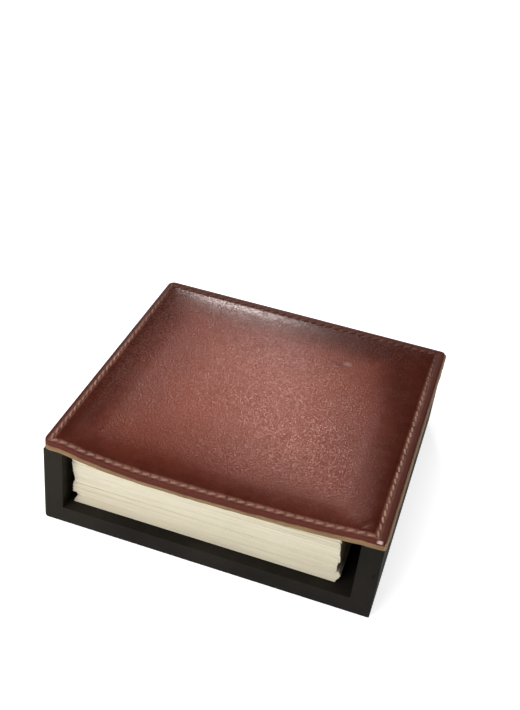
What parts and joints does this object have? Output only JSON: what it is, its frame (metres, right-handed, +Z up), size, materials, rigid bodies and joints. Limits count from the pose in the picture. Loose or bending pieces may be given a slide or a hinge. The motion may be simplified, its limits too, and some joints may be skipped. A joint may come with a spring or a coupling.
{
  "type": "memo paper box",
  "caption": "Low black wooden tray, open at the front, holding loose square memo sheets under a padded, stitched leather lid hinged along its back edge.",
  "frame": {"origin": "centre of the tray's footprint, on the desk", "axes": "+X to the right seen from the open front, +Y towards the hinge at the back, +Z up"},
  "size_m": [0.1125, 0.1077, 0.0348],
  "materials": {
    "black_lacquer": "satin",
    "felt": "matte",
    "dowel_wood": "matte",
    "nail_steel": "satin",
    "hinge_leather": "satin",
    "tack_brass": "satin",
    "lining_leather": "matte",
    "leather_board": "matte",
    "padding_foam": "matte",
    "oxblood_leather": "gloss",
    "sewing_thread": "matte",
    "memo_paper": "matte"
  },
  "bodies": {
    "tray": {"base_board": "black_lacquer", "left_wall": "black_lacquer", "right_wall": "black_lacquer", "back_wall": "black_lacquer", "base_felt": "felt", "corner_dowels": "dowel_wood", "base_nails": "nail_steel", "hinge_strip": "hinge_leather", "hinge_tacks": "tack_brass"},
    "lid": {"lid_lining": "lining_leather", "lid_board": "leather_board", "lid_padding": "padding_foam", "lid_leather": "oxblood_leather", "lid_thread": "sewing_thread", "hinge_leaf": "hinge_leather"},
    "sheets": {"memo_sheets_1": "memo_paper", "memo_sheets_2": "memo_paper", "memo_sheets_3": "memo_paper", "memo_sheets_4": "memo_paper", "memo_sheets_5": "memo_paper", "memo_sheets_6": "memo_paper"}
  },
  "joints": [
    {"name": "lid_hinge", "type": "hinge", "parent": "tray", "child": "lid", "pos_m": [0, 0.0535, 0.0307], "axis": [-1, 0, 0], "range_deg": [0, 110]},
    {"name": "sheets_slide", "type": "slide", "parent": "tray", "child": "sheets", "axis": [0, -1, 0], "range_m": [0, 0.09]}
  ]
}
